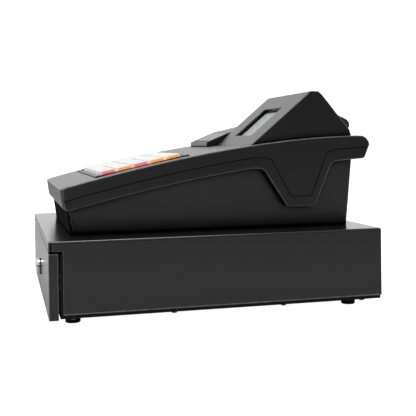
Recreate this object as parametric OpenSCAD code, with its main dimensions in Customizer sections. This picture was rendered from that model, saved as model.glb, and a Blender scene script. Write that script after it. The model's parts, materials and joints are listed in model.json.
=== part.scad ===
// Electronic cash register: a steel cash drawer cabinet with a plastic keyboard,
// printer and display unit on top.
// X is the operator's right, Y runs from the operator's side to the customer's side,
// Z is up. The origin is on the counter, below the middle of the whole machine.

/* [Cabinet] */
// Width of the cabinet
cabinet_w = 410; // [341:1:492]
// Depth of the cabinet, fascia to back panel
cabinet_d = 415; // [345:1:498]
// Height of the cabinet's top above the counter
cabinet_top = 100; // [83:0.5:120]
// Sheet thickness of the shell, the pan, the slides and the drawer box
sheet = 1.2; // [0.8:0.1:1.5]
// Outside radius of the sheet's bends
bend_r = 3; // [2:0.5:5]
// Height of the fascia that is folded down over the drawer
fascia_h = 11.7; // [9.7:0.1:14]
// Height of the rubber feet
foot_h = 10.5; // [8:0.5:14]
// Radius of a foot where it stands
foot_r = 9; // [6:0.5:11]

/* [Drawer] */
// Depth of the front panel's folded sides
front_depth = 11.2; // [9:0.1:12]
// Room for the latch behind the drawer box
latch_room = 47.8; // [46:0.1:60]
// Room for a slide on each side of the drawer box
slide_room = 14.6; // [13.5:0.1:18]
// Number of note compartments across the tray
note_bays = 4; // [3:1:5]
// Depth of the coin tray
coin_d = 130; // [108:1:156]
// Wall thickness of the two trays
tray_wall = 2.5; // [2:0.1:3]
// Radius of the axle that the note clips turn on
axle_r = 2; // [1.5:0.25:3]

/* [Lock] */
// Radius of the lock's bezel
lock_r = 11.5; // [9.5:0.1:14]
// How far the bezel stands out of the front panel
lock_out = 6; // [4:0.5:9]
// Height of the lock's axis above the counter
lock_z = 43.5; // [36:0.5:52]

/* [Upper unit] */
// Width of the top case
case_w = 318; // [290:1:382]
// How far the rim stands out past the lower case's foot, on each side
rim_out = 16; // [13:0.5:20]
// Wall thickness of the plastic shells
wall = 2.5; // [2:0.1:3]
// Width of the rim band below the parting line
rim_band = 14; // [11:0.5:16]
// Depth of the parting line's groove
groove_depth = 1.2; // [0.6:0.2:1.6]

/* [Keyboard] */
// Width of the field of keys
keys_w = 240; // [200:1:254]
// Depth of the field of keys, along the slope
keys_d = 108.1; // [95:0.5:117]
// Gap between two key caps
key_gap = 2; // [1.5:0.25:4]
// How far a key travels
key_travel = 3; // [2:0.1:3.6]
// Height of the key caps above the frame
key_proud = 3.5; // [2.5:0.1:5]

/* [Display] */
// Left end of the display pod
pod_x0 = -28; // [-28:1:-20]
// How far the pod's right end stands in from the case's side
pod_inset = 9; // [6:0.5:20]
// Width of the display window
window_w = 78; // [60:1:94]
// Length of the display window, along the slope
window_h = 58; // [48:1:70]
// Depth of the recess round the display window
recess_depth = 8; // [5:0.5:10]

/* [Printer] */
// Gap between the printer lid and the display pod
lid_gap = 2; // [1:0.5:4]
// Width of the paper roll
paper_w = 57; // [47:1:69]
// Radius of the paper roll
paper_r = 27; // [20:1:32]
// Radius of the platen roller
platen_r = 6; // [5:0.1:7.2]

/* [Fits] */
// Gap between sliding or neighbouring pieces
gap = 0.3; // [0.25:0.05:0.5]
// Radial clearance of a turning fit
run_fit = 0.05; // [0.03:0.01:0.1]

/* [Hidden] */
$fn = 48;
// How far a cutting shape runs past what it cuts
over = 1;
key_cols = 7;
key_rows = 5;
KEYS = concat(
    [for (r = [0 : 4]) [6, r, 1, 1]],
    [for (r = [1 : 3], c = [3 : 5]) [c, r, 1, 1]],
    [for (r = [0, 4]) each [[3, r, 2, 1], [5, r, 1, 1]]],
    [for (r = [0, 2], c = [0 : 2]) [c, r, 1, 2]],
    [[0, 4, 2, 1], [2, 4, 1, 1]]
);
CLIPS = [for (i = [1 : note_bays]) str("note_clip_", i)];
KEY_NODES = [for (k = KEYS) str("key_c", k[0] + 1, "_r", k[1] + 1)];

// Cabinet
cabinet_x = cabinet_w / 2;
cabinet_y = cabinet_d / 2;
shell_z = foot_h + 4.1;
shell_side_y = -cabinet_y + 3.9;
shell_cut_y = -cabinet_y + 16.5;
fascia_z = cabinet_top - fascia_h;
hem = 2.2;
pan_x = cabinet_x - sheet;
pan_y0 = -cabinet_y + 13.1;
pan_y1 = cabinet_y - sheet;
pan_side_top = fascia_z - 2.3;
floor_z = foot_h + sheet;
foot_x = cabinet_x - 33;
foot_ys = [-cabinet_y + 29.5, cabinet_y - 32.5];
screw_x = cabinet_x - 15;
screw_ys = [-cabinet_y + 28.5, -cabinet_y + 148.5, cabinet_y - 127.5, cabinet_y - 21.5];
screw_r = 2;
screw_hole = screw_r + 0.1;
counter_hole_r = 2.5;
counter_hole_x = cabinet_x - 55;
counter_hole_y = cabinet_y - 57.5;
pan_back_h = 30;
pan_front_h = 4.5;
foot_flare = 2;
foot_flare_h = 3.5;
screw_head_r = 4.2;
screw_head_h = 2;
screw_crown_r = 3;
screw_crown_h = 1.6;
screw_below = 2;

// Slides and drawer
box_x = pan_x - sheet - slide_room;
box_y0 = -cabinet_y + front_depth;
box_y1 = cabinet_y - latch_room;
box_z = floor_z + 5.3;
front_wall = 1.5;
front_z = foot_h - 1.5;
front_top = fascia_z - 2.6;
box_top = front_top - 9.7;
slide_h = 22;
slide_z0 = (box_z + box_top) / 2 - 6.5;
slide_z1 = slide_z0 + slide_h;
slide_y0 = -cabinet_y + 18;
slide_y1 = cabinet_y - 18;
slide_lip = 9.5;
slide_return = 3;
boss_r = 5;
boss_x = box_x - 48;
boss_zs = [box_z + 13, box_top - 11];
slide_foot_w = 22;
slide_web = 3;
slide_ball_w = 4;
box_front_rise = 4;

// Trays and clips
tray_x = box_x - sheet - gap;
tray_z = box_z + sheet;
tray_top = box_top - 1.8;
coin_y0 = box_y0 + 18.3;
note_y0 = coin_y0 + coin_d + 0.5;
note_y1 = box_y1 - sheet - gap;
bay_pitch = (2 * tray_x - tray_wall) / note_bays;
bay_w = bay_pitch - tray_wall;
cup_d = (coin_d - 3 * tray_wall) / 2;
clip_y = note_y1 - 9;
clip_z = tray_top - 8.2;
clip_arm = 106;
clip_boss_r = 5;
roller_r = 4;
note_pile = 5;
clip_dip = asin((clip_z - tray_z - tray_wall - note_pile - roller_r) / clip_arm);
clip_w = 20;
clip_arm_w = 14;
clip_t = 2.5;

// Lock
lock_barrel_r = 8.5;
plug_r = 6.4;
lock_hole_r = lock_barrel_r + 0.15;
lock_nut_r = 12;
lock_back = box_y0 + 12;
cam_len = cabinet_top - lock_z - 8;
cam_w = 12;
cam_t = 2;
cam_y = lock_back + gap;
strike_z = fascia_z - 1.5;
strike_x = 15;
lock_lip = 1;
plug_in = 0.8;
key_slot = [8.4, 5, 1.8];
nut_t = 3;

// Drawer latch
latch_x = 16;
latch_y = box_y1 + 36;
latch_z = 38;
latch_t = 3;
latch_pin_r = 3;
latch_open = 25;
latch_reach = 28;
catch_x = 8;
catch_y = box_y1 + 14.2;
catch_r = 2.5;
catch_side = 5;
catch_mouth = 5;
solenoid_x = latch_x + 18;
solenoid_w = 26;
solenoid_top = latch_z + 8;
solenoid_back = pan_y1 - sheet - 1;
plunger_r = 3;
hook_boss_r = latch_pin_r + 3.4;
hook_arm = 3.5;
hook_tip = [11, 3];

// Upper unit: the deck is one quadratic curve from the front edge to the rear edge
case_x = case_w / 2;
tub_x = case_x - rim_out;
case_z = cabinet_top;
deck_a = [-190.3, case_z + 57.3];
deck_b = [34.1, case_z + 116.8];
deck_c = [197, case_z + 118.4];
deck_steps = 14;
rim_h = 16 + rim_band;
part_h = 16;
rear_r = 12;
rear_o = [deck_c.x + 4.5, case_z + 106.4];
rear_top = 75;
rear_part = -10;
rear_low = -20;
heel_bend = 5;
nose_bend = 7;
tongue_bend = 12;
tongue_foot_bend = 7;
tub_front = -177.5;
tub_rear = 187.5;
tub_lean = 6;
tub_draft = 0.07;
screw_post_r = 4;
post_inset = 8;

// Keyboard, in a frame of its own that lies along the deck's chord
key_y0 = -144.7;
key_y1 = -24.4;
key_slope = atan2(deck_z(key_y1) - deck_z(key_y0), key_y1 - key_y0);
key_mid = [(key_y0 + key_y1) / 2, (deck_z(key_y0) + deck_z(key_y1)) / 2];
frame_d = (key_y1 - key_y0) / cos(key_slope);
frame_w = keys_w + 22;
frame_lip = 1.5;
frame_seat = 1;
skirt_w = keys_w + 10;
skirt_d = keys_d + 9;
skirt_t = 2.2;
plate_z = -6;
plate_t = 2;
mat_t = 2;
board_t = 1.6;
stem = 6;
stem_bottom = plate_z - 3;
mat_z = stem_bottom - key_travel - 0.5 - mat_t;
board_z = mat_z - board_t;
cap_bottom = plate_z + plate_t + key_travel + gap;
cap_top = frame_lip + key_proud;
cap_draft = 1.4;
key_px = keys_w / key_cols;
key_py = keys_d / key_rows;
key_colours = ["orangered", "orange", "orangered", "orange", "orange"];
mat_overlap = [4, 3];
dome_r = 4;

// Display pod
pod_foot = [52, deck_z(52)];
pod_apex = [134.7, case_z + 177.5];
pod_slope = atan2(pod_apex.y - pod_foot.y, pod_apex.x - pod_foot.x);
pod_rear = [[146, case_z + 177.3], [151, case_z + 173], [166, case_z + 155],
    [169, case_z + 151], [189.6, case_z + 126.6], [192, case_z + 119]];
pod_x1 = case_x - pod_inset;
window_x = (pod_x0 + pod_x1) / 2;
window_s = 50;
glass_t = 2;
glass_edge = 1;
hump = [[169, case_z + 151], [191.5, case_z + 140.5], [195.5, case_z + 136], [195.5, case_z + 130],
    [189.6, case_z + 126.6]];
hump_end = 14;

// Printer
lid_w = paper_w + 52;
lid_x1 = pod_x0 - lid_gap;
lid_x0 = lid_x1 - lid_w;
lid_y0 = 38;
lid_y1 = 180;
lid_lift = 0.4;
hinge_y = 187;
hinge_z = deck_z(hinge_y) + 5.6;
knuckle_r = 4.2;
hinge_pin_r = 2;
knuckle_w = 14;
ear_w = 8;
lid_slope = atan2(16, 39);
lid_nose = case_z + 112;
frame_x0 = lid_x0 + 6;
frame_x1 = lid_x1 - 4;
side_t = 2;
printer_y0 = 46;
printer_y1 = 162;
printer_z = case_z + 50;
platen_y = 62;
platen_z = case_z + 103;
journal_r = 2.5;
roll_y = 122;
roll_z = case_z + 95;
spindle_r = 6;
hatch_x0 = lid_x0 + 4;
hatch_x1 = lid_x1 - 2;
hatch_y0 = lid_y0 + 5;
hatch_y1 = lid_y1 - 6;
lid_window_in = 8;
lid_window_y = [8, 38];
tear_in = 10;
tear_y = [2.5, 5];
head_gap = 0.5;
head_d = 8.5;

// Electronics
main_x0 = -10;
main_x1 = tub_x - 15;
main_y0 = -120;
main_y1 = 60;
main_z = case_z + 10;
chip = [22, 22, 3];
chip_pitch = 36;
chip_y = -30;
trafo = [tub_x - 81, 92, case_z + wall];
trafo_size = [62, 52, 46];
winding_out = 8;
winding_in = [9, 6];
gland_x = tub_x - 43;
gland_z = case_z + 30;
gland_bore_r = 3.75;
gland_r = 7;
gland_neck = gland_r - 2.2;
gland_in = 5;
gland_out = 3.5;
gland_flange = 2.6;
gland_y = tub_rear + tub_lean * (gland_z - case_z) / 92 - wall;

function deck_t(y) =
    let (
        a = deck_a.x - 2 * deck_b.x + deck_c.x,
        b = 2 * (deck_b.x - deck_a.x),
        c = deck_a.x - y
    )
    (-b + sqrt(b * b - 4 * a * c)) / (2 * a);
function deck_at(t) = (1 - t) * (1 - t) * deck_a + 2 * t * (1 - t) * deck_b + t * t * deck_c;
function deck_z(y) = deck_at(deck_t(y)).y;

// Points on the deck's curve from y0 to y1, lowered by drop
function deck_run(y0, y1, drop) =
    let (t0 = deck_t(y0), t1 = deck_t(y1))
    [for (i = [0 : deck_steps]) deck_at(t0 + (t1 - t0) * i / deck_steps) - [0, drop]];

deck_line = deck_run(deck_a.x, deck_c.x, 0);

// Points of an arc round o
function arc(o, r, a0, a1, n) =
    [for (i = [0 : n]) o + r * [cos(a0 + (a1 - a0) * i / n), sin(a0 + (a1 - a0) * i / n)]];

// Points that round the corner b of a-b-c
function fillet(a, b, c, r) =
    let (
        u = (a - b) / norm(a - b),
        v = (c - b) / norm(c - b),
        half = acos(u * v) / 2,
        o = b + (u + v) / norm(u + v) * r / sin(half),
        p = b + u * r / tan(half) - o,
        q = b + v * r / tan(half) - o,
        a0 = atan2(p.y, p.x),
        sweep = (atan2(q.y, q.x) - a0 + 540) % 360 - 180
    )
    arc(o, r, a0, a0 + sweep, 4);

// The four bends of the side tongue, between the points before and after it; d narrows it
function tongue(d, foot, top_z, rear_z, before, after) =
    let (
        a = [66 + d, top_z],
        b = [98 + d * 0.5, foot],
        c = [136 - d * 0.5, foot],
        e = [160 - d * 0.7, rear_z]
    )
    concat(
        fillet(before, e, c, tongue_bend),
        fillet(e, c, b, tongue_foot_bend),
        fillet(c, b, a, tongue_foot_bend),
        fillet(b, a, after, tongue_bend)
    );

// Side outline of the whole upper unit's rim and deck
rim_low = deck_run(-186.5, 50, rim_h);
rim_heel = [206.8, case_z + 88.1];
rim_rear = [173, case_z + 87.2];
rim_outline = concat(
    deck_line,
    arc(rear_o, rear_r, rear_top, rear_part, 7),
    fillet(rear_o + rear_r * [cos(rear_low), sin(rear_low)], rim_heel, rim_rear, heel_bend),
    tongue(0, case_z + 27, deck_z(66) - rim_h - 2, case_z + 83, rim_rear, rim_low[deck_steps]),
    [for (i = [deck_steps : -1 : 1]) rim_low[i]],
    fillet(rim_low[1], rim_low[0], deck_a, nose_bend)
);

// The parting line, from the rear to the front
part_low = deck_run(-188.4, 54, part_h);
part_rear = [166, case_z + 101];
part_line = concat(
    [rear_o + rear_r * [cos(rear_part), sin(rear_part)]],
    [[211, case_z + 103.5], part_rear],
    tongue(
        rim_band * 0.75, case_z + 27 + rim_band, deck_z(66) - part_h - 2, case_z + 97,
        part_rear, part_low[deck_steps]
    ),
    [for (i = [deck_steps : -1 : 0]) part_low[i]]
);

// Side outline of the top case: the part above the parting line
part_outline = concat(deck_line, arc(rear_o, rear_r, rear_top, rear_part, 7), part_line);

// The same parting line, with far more than the top case above it
above_part = concat(
    [[deck_a.x - 20, case_z + 140], [deck_c.x + 40, case_z + 140], [deck_c.x + 40, part_line[0].y]],
    part_line,
    [[deck_a.x - 20, part_line[len(part_line) - 1].y]]
);

module block(lo, hi) translate(lo) cube(hi - lo);

// Extrudes a Y-Z outline along X
module along_x(x0, x1) translate([x0, 0, 0]) rotate([90, 0, 90]) linear_extrude(x1 - x0) children();

// Extrudes an X-Z outline along Y
module along_y(y0, y1) translate([0, y1, 0]) rotate([90, 0, 0]) linear_extrude(y1 - y0) children();

// Cylinder that lies along X
module rod_x(x0, x1, y, z, r) translate([x0, y, z]) rotate([0, 90, 0]) cylinder(r = r, h = x1 - x0);

// Cylinder that lies along Y
module rod_y(y0, y1, x, z, r) translate([x, y0, z]) rotate([-90, 0, 0]) cylinder(r = r, h = y1 - y0);

// Hole through a sheet whose lower face is at z
module hole_z(x, y, z, r) translate([x, y, z - over]) cylinder(r = r, h = sheet + 2 * over);

module both_sides() {
    children();
    mirror([1, 0, 0]) children();
}

// Sheet section with its two upper corners bent round
module bent_section(w, h, r) {
    translate([-w / 2, 0]) square([w, h - r]);
    translate([-w / 2 + r, 0]) square([w - 2 * r, h]);
    for (s = [-1, 1]) translate([s * (w / 2 - r), h - r]) circle(r);
}

module cabinet_shell() {
    color("#1c1c1e") {
        difference() {
            along_y(-cabinet_y, cabinet_y) translate([0, shell_z])
                bent_section(cabinet_w, cabinet_top - shell_z, bend_r);
            along_y(-cabinet_y - over, cabinet_y - sheet) translate([0, shell_z - over])
                bent_section(cabinet_w - 2 * sheet, cabinet_top - shell_z + over - sheet, bend_r - sheet);
            both_sides() {
                block([pan_x - sheet, -cabinet_y - over, fascia_z - over],
                    [cabinet_x + over, shell_side_y, cabinet_top - bend_r]);
                block([pan_x - sheet, -cabinet_y - over, shell_z - over],
                    [cabinet_x + over, shell_cut_y, fascia_z]);
            }
        }
        intersection() {
            along_y(-cabinet_y, -cabinet_y + hem) translate([0, shell_z])
                bent_section(cabinet_w, cabinet_top - shell_z, bend_r);
            block([-cabinet_x, -cabinet_y, fascia_z], [cabinet_x, -cabinet_y + hem, cabinet_top]);
        }
        block([-strike_x, cam_y - 1 - sheet, strike_z], [strike_x, cam_y - 1, cabinet_top - sheet]);
    }
}

module base_pan() {
    color("#242426") difference() {
        union() {
            block([-pan_x, pan_y0, foot_h], [pan_x, pan_y1, floor_z]);
            both_sides() block([pan_x - sheet, pan_y0, foot_h], [pan_x, pan_y1, pan_side_top]);
            block([-pan_x, pan_y1 - sheet, foot_h], [pan_x, pan_y1, foot_h + pan_back_h]);
            block([-pan_x, pan_y0, foot_h], [pan_x, pan_y0 + sheet, foot_h + pan_front_h]);
        }
        both_sides() for (y = screw_ys) hole_z(screw_x, y, foot_h, screw_hole);
        both_sides() for (y = [-counter_hole_y, counter_hole_y])
            hole_z(counter_hole_x, y, foot_h, counter_hole_r);
    }
}

module rubber_feet() {
    color("#151515") both_sides() for (y = foot_ys) translate([foot_x, y, 0]) {
        cylinder(r = foot_r, h = foot_h - foot_flare_h);
        translate([0, 0, foot_h - foot_flare_h])
            cylinder(r1 = foot_r, r2 = foot_r + foot_flare, h = foot_flare_h);
    }
}

module base_screws() {
    color("silver") both_sides() for (y = screw_ys) translate([screw_x, y, 0]) {
        translate([0, 0, foot_h - screw_head_h]) {
            translate([0, 0, -screw_crown_h])
                cylinder(r1 = screw_crown_r, r2 = screw_head_r, h = screw_crown_h);
            cylinder(r = screw_head_r, h = screw_head_h);
        }
        translate([0, 0, foot_h]) cylinder(r = screw_r, h = sheet * 2 + screw_below);
    }
}

module outer_slides() {
    x1 = pan_x - sheet;
    x0 = x1 - sheet - slide_lip;
    color("#8f9498") both_sides() difference() {
        union() {
            block([x1 - slide_foot_w, slide_y0, floor_z], [x1, slide_y1, floor_z + sheet]);
            block([x1 - sheet, slide_y0, floor_z], [x1, slide_y1, slide_z1]);
            for (z = [slide_z0, slide_z1 - sheet]) block([x0, slide_y0, z], [x1, slide_y1, z + sheet]);
            for (z = [slide_z0, slide_z1 - slide_return - sheet])
                block([x0, slide_y0, z], [x0 + sheet, slide_y1, z + slide_return + sheet]);
        }
        for (y = screw_ys) hole_z(screw_x, y, floor_z, screw_hole);
    }
}

module inner_slides() {
    x_web = pan_x - sheet - slide_lip + 2;
    mid = (slide_z0 + slide_z1) / 2;
    head = (slide_z1 - slide_z0) / 2 - sheet - gap;
    color("#a7abae") both_sides() {
        block([box_x, box_y0 + 2, mid - head], [box_x + sheet, box_y1, mid + head]);
        block([box_x, box_y0 + 2, mid - slide_web], [x_web, box_y1, mid + slide_web]);
        block([x_web, box_y0 + 2, mid - head], [x_web + slide_ball_w, box_y1, mid + head]);
    }
}

module drawer_box() {
    color("#303236") {
        difference() {
            union() {
                block([-box_x, box_y0, box_z], [box_x, box_y1, box_top]);
                block([-box_x, box_y0, box_z], [box_x, box_y0 + sheet, box_top + box_front_rise]);
            }
            block([-box_x + sheet, box_y0 + sheet, box_z + sheet],
                [box_x - sheet, box_y1 - sheet, box_top + box_front_rise + over]);
            rod_y(box_y0 - over, box_y0 + sheet + over, 0, lock_z, lock_hole_r);
        }
        for (z = [latch_z - catch_mouth, latch_z + latch_t + catch_mouth - sheet])
            block([catch_x - catch_side, box_y1 - sheet / 2, z],
                [catch_x + catch_side, catch_y + catch_r + 1.5, z + sheet]);
        translate([catch_x, catch_y, latch_z - catch_mouth + sheet / 2])
            cylinder(r = catch_r, h = latch_t + 2 * catch_mouth - sheet);
    }
}

module drawer_front() {
    y0 = -cabinet_y;
    y1 = box_y0;
    z1 = front_top;
    color("#1c1c1e") difference() {
        union() {
            difference() {
                block([-cabinet_x, y0, front_z], [cabinet_x, y1, z1]);
                block([-cabinet_x + front_wall, y0 + front_wall, front_z + front_wall],
                    [cabinet_x - front_wall, y1 + over, z1 - front_wall]);
            }
            for (x = [-boss_x, boss_x], z = boss_zs) rod_y(y0 + front_wall / 2, y1, x, z, boss_r);
        }
        rod_y(y0 - over, y1 + over, 0, lock_z, lock_hole_r);
    }
}

module lock_housing() {
    y0 = -cabinet_y;
    color("silver") difference() {
        union() {
            translate([0, y0 - lock_out, lock_z]) rotate([-90, 0, 0]) {
                cylinder(r1 = lock_r - lock_lip, r2 = lock_r, h = lock_lip);
                translate([0, 0, lock_lip]) cylinder(r = lock_r, h = lock_out - lock_lip);
            }
            rod_y(y0 - over, lock_back, 0, lock_z, lock_barrel_r);
            rod_y(box_y0 + sheet, box_y0 + sheet + nut_t, 0, lock_z, lock_nut_r, $fn = 6);
        }
        rod_y(y0 - lock_out - over, lock_back + over, 0, lock_z, plug_r + run_fit);
    }
}

module lock_cylinder() {
    y0 = -cabinet_y - lock_out;
    color("#c8c8c4") difference() {
        union() {
            rod_y(y0 + plug_in, cam_y, 0, lock_z, plug_r);
            block([0, cam_y, lock_z - cam_w / 2], [cam_len, cam_y + cam_t, lock_z + cam_w / 2]);
            rod_y(cam_y, cam_y + cam_t, 0, lock_z, cam_w / 2 + 1);
        }
        translate([-key_slot.x / 2, y0, lock_z - key_slot.z / 2]) cube(key_slot);
    }
}

module coin_tray() {
    r = cup_d / 2;
    color("#2b2b2d") difference() {
        block([-tray_x, coin_y0, tray_z], [tray_x, coin_y0 + coin_d, tray_top]);
        for (i = [0 : note_bays - 1], j = [0, 1]) {
            x = -tray_x + tray_wall + i * bay_pitch;
            y = coin_y0 + tray_wall + j * (cup_d + tray_wall);
            rod_x(x, x + bay_w, y + r, tray_z + tray_wall + r, r);
            block([x, y, tray_z + tray_wall + r], [x + bay_w, y + cup_d, tray_top + over]);
        }
    }
}

module note_tray() {
    color("#2b2b2d") difference() {
        block([-tray_x, note_y0, tray_z], [tray_x, note_y1, tray_top]);
        for (i = [0 : note_bays - 1]) {
            x = -tray_x + tray_wall + i * bay_pitch;
            block([x, note_y0 + tray_wall, tray_z + tray_wall],
                [x + bay_w, note_y1 - tray_wall, tray_top + over]);
        }
        rod_x(-tray_x + tray_wall / 2, tray_x - tray_wall / 2, clip_y, clip_z, axle_r + run_fit);
    }
}

module clip_axle() {
    color("silver") rod_x(-tray_x + tray_wall / 2, tray_x - tray_wall / 2, clip_y, clip_z, axle_r);
}

// Sprung arm that holds the notes of bay i down
module note_clip(i) {
    x = -tray_x + tray_wall / 2 + (i - 0.5) * bay_pitch;
    color("#3a3b3e") difference() {
        union() {
            rod_x(x - clip_w / 2, x + clip_w / 2, clip_y, clip_z, clip_boss_r);
            translate([x, clip_y, clip_z]) rotate([clip_dip, 0, 0]) {
                block([-clip_arm_w / 2, -clip_arm, -clip_t / 2], [clip_arm_w / 2, 0, clip_t / 2]);
                rod_x(-clip_w, clip_w, -clip_arm, 0, roller_r);
            }
        }
        rod_x(x - clip_w, x + clip_w, clip_y, clip_z, axle_r + run_fit);
    }
}

module latch_solenoid() {
    x0 = solenoid_x;
    x1 = solenoid_x + solenoid_w;
    color("#7d8084") {
        block([latch_x - 12, box_y1 + 20, floor_z], [x1 + 2, solenoid_back, floor_z + 1.5]);
        block([x0, box_y1 + 16, floor_z], [x1, solenoid_back, solenoid_top]);
        translate([latch_x, latch_y, floor_z]) {
            cylinder(r = latch_pin_r, h = solenoid_top - floor_z);
            cylinder(r = latch_pin_r + 3, h = latch_z - 2 - gap - floor_z);
        }
        rod_x(x0 - 4.5, x0 + 1, box_y1 + 19, latch_z + latch_t / 2, plunger_r);
    }
}

module latch_hook() {
    color("#b4b7ba") translate([latch_x, latch_y, 0]) rotate([0, 0, latch_open]) difference() {
        union() {
            translate([0, 0, latch_z - 2]) cylinder(r = hook_boss_r, h = latch_t + 4);
            block([-hook_arm, -latch_reach, latch_z], [hook_arm, 0, latch_z + latch_t]);
            block([-hook_tip.x, -latch_reach, latch_z],
                [hook_arm, -latch_reach + hook_tip.y, latch_z + latch_t]);
        }
        translate([0, 0, latch_z - 3]) cylinder(r = latch_pin_r + run_fit, h = latch_t + 6);
    }
}

// Side outline and draft of the tub below the rim
module tub(inset) {
    low = case_z + (inset > 0 ? wall : 0);
    high = case_z + 130;
    intersection() {
        along_x(-case_x, case_x) polygon(concat(
            [[tub_front + inset, low], [tub_rear - inset, low], [tub_rear + tub_lean - inset, case_z + 92]],
            [for (i = [deck_steps : -1 : 0]) deck_run(tub_front - 3 + inset, 190 - inset, rim_h - 6)[i]],
            [[tub_front - 4.2 + inset, case_z + 33]]
        ));
        along_y(tub_front - 20, tub_rear + 20) polygon([
            [-tub_x + inset, low - inset], [tub_x - inset, low - inset],
            [tub_x - inset + tub_draft * 130, high], [-tub_x + inset - tub_draft * 130, high]
        ]);
    }
}

// Inside of the rim and the deck
module case_hollow() {
    along_x(-case_x + wall, case_x - wall) offset(delta = -wall) polygon(rim_outline);
}

// Four posts under the corners of what stands from lo to hi at height z
module screw_posts(lo, hi, z) {
    for (x = [lo.x + post_inset, hi.x - post_inset], y = [lo.y + post_inset, hi.y - post_inset])
        translate([x, y, case_z + wall]) cylinder(r = screw_post_r, h = z - case_z - wall);
}

module lower_case() {
    color("#1f1f21") {
        difference() {
            union() {
                along_x(-case_x, case_x) polygon(rim_outline);
                tub(0);
            }
            case_hollow();
            tub(wall);
            along_x(-case_x - over, case_x + over) polygon(above_part);
            both_sides() along_x(case_x - groove_depth, case_x + over) difference() {
                offset(delta = 1) polygon(part_outline);
                polygon(part_outline);
            }
            rod_y(tub_rear - 10, tub_rear + 20, gland_x, gland_z, gland_r - 2);
        }
        screw_posts([main_x0, main_y0], [main_x1, main_y1], main_z);
        screw_posts([frame_x0, printer_y0], [frame_x1, printer_y1], printer_z);
    }
}

// Places its children in the keyboard's own frame
module on_keyboard() translate([0, key_mid.x, key_mid.y]) rotate([key_slope, 0, 0]) children();

module centred(w, d, z0, z1) block([-w / 2, -d / 2, z0], [w / 2, d / 2, z1]);

module top_case() {
    color("#1f1f21") {
        difference() {
            along_x(-case_x, case_x) polygon(part_outline);
            case_hollow();
            on_keyboard() {
                centred(frame_w + 2 * gap, frame_d + 2 * gap, -frame_seat, 20);
                centred(skirt_w + 2, skirt_d + 2, -20, 20);
            }
            block([hatch_x0, hatch_y0, case_z + 60], [hatch_x1, hatch_y1, case_z + 140]);
        }
        for (x = [lid_x0 + knuckle_w + gap, lid_x1 - knuckle_w - gap - ear_w]) {
            rod_x(x, x + ear_w, hinge_y, hinge_z, knuckle_r);
            block([x, hinge_y - knuckle_r, deck_z(hinge_y) - 2], [x + ear_w, hinge_y + knuckle_r, hinge_z]);
        }
        rod_x(lid_x0 + 2, lid_x0 + knuckle_w + gap + 1, hinge_y, hinge_z, hinge_pin_r);
        rod_x(lid_x1 - knuckle_w - gap - 1, lid_x1 - 2, hinge_y, hinge_z, hinge_pin_r);
    }
}

module keyboard_frame() {
    color("#262628") on_keyboard() difference() {
        union() {
            centred(frame_w, frame_d, -frame_seat, frame_lip);
            centred(skirt_w, skirt_d, board_z, 0);
        }
        centred(keys_w + 5, keys_d + 4.4, plate_z + plate_t, 20);
        centred(skirt_w - 2 * skirt_t, skirt_d - 2 * skirt_t, board_z - over, plate_z);
        for (k = KEYS) key_place(k)
            centred(stem + 2 * gap, stem + 2 * gap, plate_z - over, plate_z + plate_t + over);
    }
}

// Moves its children to the middle of key k
module key_place(k) translate([
    -keys_w / 2 + (k[0] + k[2] / 2) * key_px,
    -keys_d / 2 + (k[1] + k[3] / 2) * key_py,
    0
]) children();

// Side outline of a key cap of width w
module cap_side(w, h) {
    polygon([[-w / 2, 0], [w / 2, 0], [w / 2 - cap_draft, h], [-w / 2 + cap_draft, h]]);
}

module key(k) {
    w = k[2] * key_px - key_gap;
    d = k[3] * key_py - key_gap;
    h = cap_top - cap_bottom;
    tint = k[0] == key_cols - 1 ? key_colours[k[1]] : "#e6e7e4";
    color(tint) on_keyboard() key_place(k) {
        translate([0, 0, cap_bottom]) intersection() {
            along_x(-w / 2, w / 2) cap_side(d, h);
            along_y(-d / 2, d / 2) cap_side(w, h);
        }
        centred(stem, stem, stem_bottom, cap_bottom + 1);
    }
}

module key_mat() {
    color("#5a6066") on_keyboard() {
        centred(keys_w + mat_overlap.x, keys_d + mat_overlap.y, mat_z, mat_z + mat_t - 0.4);
        for (k = KEYS) key_place(k) translate([0, 0, mat_z + mat_t / 2]) cylinder(r = dome_r, h = mat_t / 2);
    }
}

module circuit_boards() {
    color("darkgreen") {
        on_keyboard() centred(keys_w + mat_overlap.x, keys_d + mat_overlap.y, board_z, board_z + board_t);
        block([main_x0, main_y0, main_z], [main_x1, main_y1, main_z + board_t]);
        for (i = [0 : 2]) translate([main_x0 + 20 + i * chip_pitch, chip_y, main_z + board_t]) cube(chip);
    }
}

module transformer() {
    color("#6d6f72") {
        translate(trafo) cube(trafo_size);
        translate(trafo + [-winding_out, winding_in.x, winding_in.y])
            cube(trafo_size + 2 * [winding_out, -winding_in.x, -winding_in.y]);
    }
}

module cord_gland() {
    outer = gland_y + wall;
    color("#111111") difference() {
        union() {
            rod_y(gland_y - gland_in, outer + gland_out, gland_x, gland_z, gland_neck);
            rod_y(outer + gland_out - gland_flange, outer + gland_out, gland_x, gland_z, gland_r);
        }
        rod_y(gland_y - gland_in - over, outer + gland_out + over, gland_x, gland_z, gland_bore_r);
    }
}

// Everything below the deck's surface, from the side
module under_deck() {
    back = [for (i = [deck_steps : -1 : 0]) deck_line[i]];
    polygon(concat([[deck_a.x, case_z], [deck_c.x, case_z]], back));
}

module pod_outline() {
    sunk = [[192, case_z + 105], [60, case_z + 100]];
    polygon(concat([pod_foot - [1.2, 1], pod_foot, pod_apex], pod_rear, sunk));
}

// Places its children at the foot of the pod's panel, with Y up the slope and Z out of it
module on_pod() translate([0, pod_foot.x, pod_foot.y]) rotate([pod_slope, 0, 0]) children();

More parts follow.
